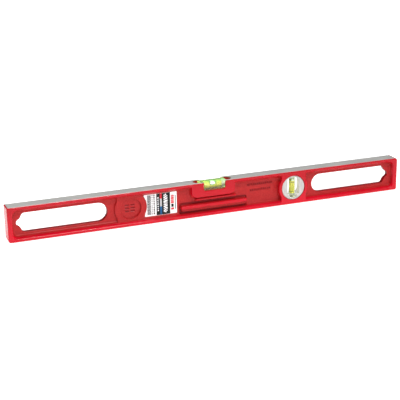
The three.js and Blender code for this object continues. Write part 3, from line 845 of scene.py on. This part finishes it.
def make_plumb_line(name, side):
    return smoothed(hoop(
        name, facing_z, PLUMB_CENTRE, PLUMB_FLUID_RADIUS + LINE_GAP,
        PLUMB_LINES_MIDDLE + side * PLUMB_LINE_HALF))


# ---- materials

def material(name):
    """A node material, its tree and its Principled shader."""
    mat = bpy.data.materials.new(name)
    mat.use_nodes = True
    tree = mat.node_tree
    return mat, tree, tree.nodes["Principled BSDF"]


def add(tree, kind, links=None, **values):
    """Adds a node, sets its properties or inputs by name, and links its inputs."""
    node = tree.nodes.new(kind)
    for key, value in values.items():
        if hasattr(node, key):
            setattr(node, key, value)
        else:
            node.inputs[key].default_value = value
    for key, source in (links or {}).items():
        tree.links.new(source, node.inputs[key])
    return node


def object_place(tree):
    """Where a point of the piece lies, in millimetres. It moves with the piece."""
    place = add(tree, "ShaderNodeTexCoord").outputs["Object"]
    return add(tree, "ShaderNodeVectorMath", {0: place}, operation="SCALE", Scale=1 / MM).outputs[0]


def noise(tree, place, waves, detail=2.0, stretch=(1, 1, 1)):
    """Noise with so many waves to a millimetre, and as many again along an axis as stretch says."""
    scaled = add(tree, "ShaderNodeMapping", {"Vector": place}, Scale=[waves * n for n in stretch])
    return add(tree, "ShaderNodeTexNoise", {"Vector": scaled.outputs["Vector"]}, **{
        "Scale": 1.0, "Detail": detail}).outputs["Fac"]


def ramp(tree, source, low, high, to_low=0.0, to_high=1.0):
    """Goes from to_low to to_high while source goes from low to high, and stays level outside that."""
    return add(tree, "ShaderNodeMapRange", {"Value": source}, **{
        "From Min": low, "From Max": high, "To Min": to_low, "To Max": to_high}).outputs["Result"]


def maths(tree, operation, first, second=0.0):
    """A maths node on two values, each a number or the output of a node."""
    node = add(tree, "ShaderNodeMath", operation=operation)
    for socket, value in zip(node.inputs, (first, second)):
        if isinstance(value, (int, float)):
            socket.default_value = value
        else:
            tree.links.new(value, socket)
    return node.outputs[0]


def blend(tree, factor, first, second):
    """A colour between two others, each an (r, g, b) or the output of a node."""
    node = add(tree, "ShaderNodeMixRGB", {"Fac": factor})
    for socket, value in zip((node.inputs["Color1"], node.inputs["Color2"]), (first, second)):
        if isinstance(value, tuple):
            socket.default_value = (*value, 1)
        else:
            tree.links.new(value, socket)
    return node.outputs["Color"]


def bump(tree, shader, height, depth_mm):
    node = add(tree, "ShaderNodeBump", {"Height": height}, Strength=1.0, Distance=depth_mm * MM)
    tree.links.new(node.outputs["Normal"], shader.inputs["Normal"])


def settle(shader, **values):
    """Sets the shader's inputs, which are named with _ for a space, to plain numbers or colours."""
    for key, value in values.items():
        shader.inputs[key.replace("_", " ")].default_value = value


def feed(tree, shader, **sources):
    """Links the outputs of nodes to the shader's inputs."""
    for key, source in sources.items():
        tree.links.new(source, shader.inputs[key.replace("_", " ")])


def red_plastic():
    """Moulded plastic: glossy crimson faces, and duller, grainier webs between the flanges. The webs are
    painted darker as painted shade in the recesses, the grooves and sunk marks darker still as painted
    shade, and the faces darker towards the top as painted shade."""
    mat, tree, shader = material("red_plastic")
    place = object_place(tree)
    axes = add(tree, "ShaderNodeSeparateXYZ", {0: place})
    from_middle = maths(tree, "ABSOLUTE", axes.outputs["X"])
    between_ends = ramp(tree, from_middle, END_X - END_LIP, END_X - END_LIP / 2, 1.0, 0.0)
    depth = maths(tree, "ABSOLUTE", axes.outputs["Y"])
    # painted shade: the web's floor colour is darker than the faces' for the shade in the recesses; the
    # web is also really rougher and grainier
    web = maths(tree, "MULTIPLY", ramp(tree, depth, 6.3, 7.8, 1.0, 0.0), between_ends)
    # painted shade: darker where the surface lies deeper than the web, in the grooves and the sunk marks
    groove = ramp(tree, depth, 2.7, 3.4)
    cloud = ramp(tree, noise(tree, place, 0.05, 4, (0.4, 1, 1)), 0.35, 0.65)
    mottle = ramp(tree, noise(tree, place, 0.7, 4), 0.3, 0.7)
    scuffs = ramp(tree, noise(tree, place, 0.9, 5, (0.12, 1, 1)), 0.4, 0.7)
    grain = noise(tree, place, 2.4, 3)
    face = blend(tree, cloud, (0.60, 0.002, 0.014), (0.67, 0.003, 0.021))
    # painted shade: the faces darken towards the top, where less light falls on them
    painted_top_shade = ramp(tree, axes.outputs["Z"], 8.0, 44.0, 0.0, 0.6)
    face = blend(tree, painted_top_shade, face, (0.43, 0.001, 0.007))
    # painted shade: these floor colours are darker than the faces' colours
    floor = blend(tree, mottle, (0.40, 0.005, 0.008), (0.51, 0.017, 0.016))
    # painted shade in the grooves and sunk marks
    floor = blend(tree, groove, (0.28, 0.001, 0.003), floor)
    gloss = ramp(tree, scuffs, 0, 1, 0.16, 0.30)
    roughness = maths(tree, "ADD", gloss, maths(tree, "MULTIPLY", web, 0.16))
    feed(tree, shader, Base_Color=blend(tree, web, face, floor), Roughness=roughness)
    settle(shader, Specular_IOR_Level=0.24)
    bump(tree, shader, maths(tree, "MULTIPLY", grain, ramp(tree, web, 0, 1, 0.15, 1.0)), 0.05)
    return mat


def aluminium():
    """Milled strip: fine lines along its length, faint stains and a satin sheen."""
    mat, tree, shader = material("aluminium")
    place = object_place(tree)
    lines = noise(tree, place, 5.0, 3, (0.012, 1, 1))
    stains = ramp(tree, noise(tree, place, 0.06, 4, (0.3, 1, 1)), 0.35, 0.7)
    bright = blend(tree, lines, (0.64, 0.636, 0.616), (0.76, 0.755, 0.735))
    feed(
        tree, shader,
        Base_Color=blend(tree, maths(tree, "MULTIPLY", stains, 0.35), bright, (0.56, 0.545, 0.505)),
        Roughness=ramp(tree, maths(tree, "ADD", lines, stains), 0.4, 1.6, 0.30, 0.46))
    settle(shader, Metallic=0.5)
    bump(tree, shader, lines, 0.02)
    return mat


def moulded(name, first, second, roughness, waves=0.15, grain_mm=0.02, shine=0.5, glow=0.0):
    """A plain moulded or printed surface: two close tones in soft clouds, and a fine grain. Glow is
    painted light: a glow that makes a surface brighter than its lamps do."""
    mat, tree, shader = material(name)
    place = object_place(tree)
    cloud = ramp(tree, noise(tree, place, waves, 4), 0.35, 0.65)
    grain = noise(tree, place, 3.0, 3)
    feed(
        tree, shader,
        Base_Color=blend(tree, cloud, first, second),
        Roughness=ramp(tree, grain, 0.3, 0.7, roughness - 0.06, roughness + 0.06))
    settle(shader, Specular_IOR_Level=shine, Emission_Color=(1, 1, 1, 1), Emission_Strength=glow)
    bump(tree, shader, grain, grain_mm)
    return mat


def acrylic(name, ior, edges):
    """Clear plastic with slightly wavy faces. Towards its edges it carries a painted green glint, a green
    tint and a glow: edges has an axis and the distance from the origin along it where the green starts
    and is full."""
    mat, tree, shader = material(name)
    place = object_place(tree)
    cloud = noise(tree, place, 0.25, 2)
    clear = blend(tree, cloud, (0.92, 0.98, 0.88), (0.98, 1.0, 0.95))
    along = add(tree, "ShaderNodeSeparateXYZ", {0: place})
    glow = 0.0
    # painted glint: green towards the edges, in colour and in glow
    for axis, start, full in edges:
        reach = maths(tree, "ABSOLUTE", along.outputs[axis])
        glow = maths(tree, "MAXIMUM", ramp(tree, reach, start, full), glow)
    feed(
        tree, shader,
        Base_Color=blend(tree, glow, clear, (0.55, 0.88, 0.48)),
        Emission_Color=blend(tree, glow, (0.0, 0.0, 0.0), (0.30, 0.62, 0.24)))
    settle(shader, Emission_Strength=0.45, Roughness=0.03, IOR=ior, Transmission_Weight=1.0)
    bump(tree, shader, cloud, 0.03)
    return mat


def vial_fluid():
    """Fluorescent yellow-green liquid with a painted glow: a little emission for the light that reaches
    it through the glass.
    """
    mat, tree, shader = material("vial_fluid")
    place = object_place(tree)
    cloud = ramp(tree, noise(tree, place, 0.22, 3), 0.35, 0.65)
    colour = blend(tree, cloud, (0.42, 0.43, 0.045), (0.52, 0.49, 0.08))
    feed(tree, shader, Base_Color=colour, Emission_Color=colour)
    # painted light: the liquid glows a little, though it is no lamp
    settle(shader, Emission_Strength=0.12, Roughness=0.12)
    return mat


def air(name, centre, reach, core, rim):
    """A bubble with a painted bright core and a painted dark green rim where the liquid closes round it,
    for the light that the air and the liquid bend. Centre and reach are its middle and half size along
    X and Z."""
    mat, tree, shader = material(name)
    along = add(tree, "ShaderNodeSeparateXYZ", {0: object_place(tree)})
    squares = []
    for axis, middle, half in zip("XZ", centre, reach):
        part = maths(tree, "DIVIDE", maths(tree, "SUBTRACT", along.outputs[axis], middle), half)
        squares.append(maths(tree, "MULTIPLY", part, part))
    out = maths(tree, "SQRT", maths(tree, "ADD", *squares))
    # painted light and shade: bright in the middle, dark green at the rim
    feed(tree, shader, Base_Color=blend(tree, ramp(tree, out, 0.56, 0.70), core, rim))
    settle(shader, Roughness=0.1)
    return mat


def insert_plastic():
    """White plastic: greyish and faintly marbled on the insert's face. Behind the face, in its window
    and cup, it is painted lighter as painted light.
    """
    mat, tree, shader = material("white_plastic")
    place = object_place(tree)
    across = add(tree, "ShaderNodeSeparateXYZ", {0: place}).outputs["Y"]
    marble = ramp(tree, noise(tree, place, 0.35, 4, (1, 1, 0.4)), 0.35, 0.65)
    face = blend(tree, marble, (0.49, 0.485, 0.455), (0.61, 0.605, 0.58))
    # painted light: lighter behind the front face, in the window and the cup
    inside = ramp(tree, across, INSERT_FRONT + 0.3, INSERT_FRONT + 0.9)
    grain = noise(tree, place, 3.0, 3)
    feed(
        tree, shader,
        Base_Color=blend(tree, inside, face, (0.88, 0.88, 0.86)),
        Roughness=ramp(tree, grain, 0.3, 0.7, 0.36, 0.5))
    bump(tree, shader, grain, 0.02)
    return mat


# ---- stage

FLOOR_HALF = 20000
FLOOR_Z = -0.05

# in metres
FRONT_LAMP_PLACE = (0.15, -0.8, 1.3)
CAMERA_PLACE = Vector((-0.5523, -1.4030, 0.5099))
CAMERA_TARGET = Vector((-0.0187, 0.0, 0.0218))
CAMERA_ROLL = math.radians(-0.99)
CAMERA_LENS = 98.63


def make_camera():
    camera = bpy.data.cameras.new("camera")
    camera.lens = CAMERA_LENS
    camera.sensor_width = 36
    turn = (CAMERA_TARGET - CAMERA_PLACE).to_track_quat("-Z", "Y").to_matrix().to_4x4()
    bpy.context.scene.camera = put(
        "camera", camera, Matrix.Translation(CAMERA_PLACE) @ turn @ Matrix.Rotation(CAMERA_ROLL, 4, "Z"))


def put(name, data, turn):
    """The camera or a lamp as an object, at the place and turn of a matrix."""
    obj = bpy.data.objects.new(name, data)
    bpy.context.scene.collection.objects.link(obj)
    obj.matrix_world = turn
    return obj


def make_lamp(name, place, size, power, diffuse=True, glossy=True):
    """A rectangular lamp turned to the origin. It may light surfaces, show in gloss, or do both."""
    lamp = bpy.data.lights.new(name, "AREA")
    lamp.shape = "RECTANGLE"
    lamp.size, lamp.size_y = size
    lamp.energy = power
    turn = (-Vector(place)).to_track_quat("-Z", "Y").to_matrix().to_4x4()
    obj = put(name, lamp, Matrix.Translation(place) @ turn)
    obj.visible_diffuse = diffuse
    obj.visible_glossy = glossy


def make_sun(name, towards, spread_degrees, strength):
    """Light from the direction towards, as from a large softbox far away."""
    lamp = bpy.data.lights.new(name, "SUN")
    lamp.angle = math.radians(spread_degrees)
    lamp.energy = strength
    put(name, lamp, Vector(towards).to_track_quat("Z", "Y").to_matrix().to_4x4())


def make_sky():
    """A dim grey surround, brighter ahead and behind than at the sides or overhead. It is white where
    the camera looks past the floor."""
    world = bpy.data.worlds.new("world")
    world.use_nodes = True
    tree = world.node_tree
    place = add(tree, "ShaderNodeTexCoord")
    axes = add(tree, "ShaderNodeSeparateXYZ", {"Vector": place.outputs["Generated"]})
    aside = maths(tree, "ABSOLUTE", maths(tree, "SUBTRACT", axes.outputs["X"], 0.05))
    glow = ramp(tree, aside, 0.0, 0.5, 1.75, 0.3)
    overhead = ramp(tree, axes.outputs["Z"], 0.4, 0.75, 1.0, 0.4)
    seen = add(tree, "ShaderNodeLightPath").outputs["Is Camera Ray"]
    strength = maths(
        tree, "MAXIMUM", maths(tree, "MULTIPLY", glow, overhead), maths(tree, "MULTIPLY", seen, 20.0))
    tree.links.new(strength, tree.nodes["Background"].inputs["Strength"])
    bpy.context.scene.world = world


def make_floor():
    corners = [(x * FLOOR_HALF, y * FLOOR_HALF, FLOOR_Z) for x, y in ((-1, -1), (1, -1), (1, 1), (-1, 1))]
    floor = new_object("floor", corners, [(0, 1, 2, 3)])
    finish, _, shader = material("floor")
    settle(
        shader, Base_Color=(0.9, 0.9, 0.9, 1), Emission_Color=(1, 1, 1, 1), Emission_Strength=0.55,
        Roughness=0.7)
    floor.data.materials.append(finish)


def make_stage():
    bpy.context.scene.view_settings.view_transform = "Standard"
    make_sky()
    make_floor()
    make_lamp("glint", FRONT_LAMP_PLACE, (0.35, 0.04), 20, diffuse=False)
    make_lamp("front", FRONT_LAMP_PLACE, (0.3, 0.2), 8, glossy=False)
    make_lamp("key", (0.9, -1.2, 1.0), (0.7, 0.5), 3, glossy=False)
    make_lamp("left", (-0.75, 0.1, 0.75), (0.4, 0.4), 3.4, glossy=False)
    make_sun("overhead", (0.25, -0.12, 1.0), 110, 2.0)


# ---- assembly

def fit(piece, finish, node=None, body="level"):
    """Gives a piece its material and body, and hides the CAD node that it stands for."""
    piece.data.materials.clear()
    piece.data.materials.append(finish)
    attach(piece, body)
    if node:
        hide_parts(node)


def fit_body_and_soles():
    fit(make_body(), red_plastic(), "body")
    metal = aluminium()
    for node in ("top_sole_left", "top_sole_right", "bottom_sole"):
        fit(make_sole(node), metal, node)


def fit_label():
    """The label film, and plain printed bars and stripes in place of its lettering."""
    # painted light: the film and the white print glow a little, to look whiter than the lamps make them
    film = moulded("label_film", (0.92, 0.92, 0.91), (0.96, 0.96, 0.95), 0.45, glow=0.16)
    black = moulded("black_print", (0.008, 0.010, 0.009), (0.016, 0.018, 0.016), 0.45, shine=0.2)
    grey = moulded("grey_print", (0.015, 0.015, 0.017), (0.10, 0.10, 0.105), 0.45, 0.9, shine=0.3)
    pale = moulded("pale_print", (0.46, 0.47, 0.48), (0.60, 0.61, 0.62), 0.45, 0.6, shine=0.3)
    white = moulded("white_print", (0.78, 0.79, 0.82), (0.94, 0.94, 0.94), 0.45, 0.8, shine=0.3, glow=0.1)
    red = moulded("red_print", (0.68, 0.010, 0.03), (0.76, 0.02, 0.04), 0.4, shine=0.3)
    blue = moulded("blue_print", (0.004, 0.10, 0.28), (0.010, 0.13, 0.34), 0.4, shine=0.3)
    fit(make_label(), film, "side_label")
    fit(print_tiles("label_panel", [PANEL]), black)
    for name, finish in (("red", red), ("pale", pale), ("blue", blue)):
        stripe = print_tiles("label_stripe_" + name, [(*STRIPE_X, *STRIPES[name])], 2)
        fit(stripe, finish)
    for name, boxes, layer, finish in (
            ("label_code_bars", bars(CODE_COLUMNS), 1, grey),
            ("label_note_bars", bars(NOTE_COLUMNS), 1, pale),
            ("label_head_bars", bars(HEAD_COLUMNS), 2, white),
            ("label_red_bars", bars(RED_COLUMNS) + [RED_FOOT], 1, red),
            ("label_dark_bars", DARK_BARS, 1, black)):
        fit(print_tiles(name, boxes, layer), finish)


def fit_vials():
    ink = moulded("black_ink", (0.018, 0.030, 0.006), (0.035, 0.050, 0.012), 0.5)
    compound = moulded("setting_compound", (0.15, 0.065, 0.015), (0.26, 0.16, 0.05), 0.7, 0.4, 0.08)
    plug_finish = moulded("plug_plastic", (0.36, 0.32, 0.25), (0.50, 0.47, 0.38), 0.3)
    fluid = vial_fluid()
    # the bubbles' bright cores and dark rims are painted light and shade
    level_air = air(
        "level_air", (LEVEL_BUBBLE["x"], BARREL_Z + BARREL_RADIUS - 1.6),
        (LEVEL_BUBBLE["half"] + 1.1, LEVEL_BUBBLE["depth"] - 1.6),
        (0.95, 0.97, 0.91), (0.03, 0.22, 0.012))
    plumb_air = air(
        "plumb_air", (STATION_X, PLUMB_CEILING - 2.0), (PLUMB_FLUID_RADIUS, 2.6),
        (0.66, 0.72, 0.54), (0.26, 0.32, 0.08))
    # painted green glints along the block's top and ends, and along the tube's top
    block_finish = acrylic("block_acrylic", 1.49, [("Z", 48.7, 49.2), ("X", 15.5, 19.5)])
    tube_finish = acrylic("tube_acrylic", 1.12, [("Z", 39.4, 40.3)])
    for piece, finish, node in (
            (make_level_block(), block_finish, "level_vial_block"),
            (make_tube(), tube_finish, "plumb_vial_tube")):
        piece.visible_shadow = False
        fit(piece, finish, node)
    for piece, finish, slot, node in (
            (make_level_plug(), plug_finish, "clear_acrylic", "level_vial_plug"),
            (make_plumb_plug(), plug_finish, "clear_acrylic", "plumb_vial_plug"),
            (make_level_bed(), compound, "setting_compound", "level_vial_bed"),
            (make_level_fluid(), fluid, "vial_fluid", "level_fluid"),
            (make_plumb_fluid(), fluid, "vial_fluid", "plumb_fluid"),
            (make_level_line("level_line_left", -1), ink, "black_ink", "level_ring_left"),
            (make_level_line("level_line_right", 1), ink, "black_ink", "level_ring_right"),
            (make_plumb_line("plumb_line_upper", 1), ink, "black_ink", "plumb_ring_upper"),
            (make_plumb_line("plumb_line_lower", -1), ink, "black_ink", "plumb_ring_lower"),
            (make_housing(), insert_plastic(), "white_plastic", "plumb_housing")):
        fit(piece, finish, node)
    fit(make_level_bubble(), level_air, "level_bubble", "level_bubble")
    fit(make_plumb_bubble(), plumb_air, "plumb_bubble", "plumb_bubble")


make_camera()
fit_body_and_soles()
fit_label()
fit_vials()
make_stage()
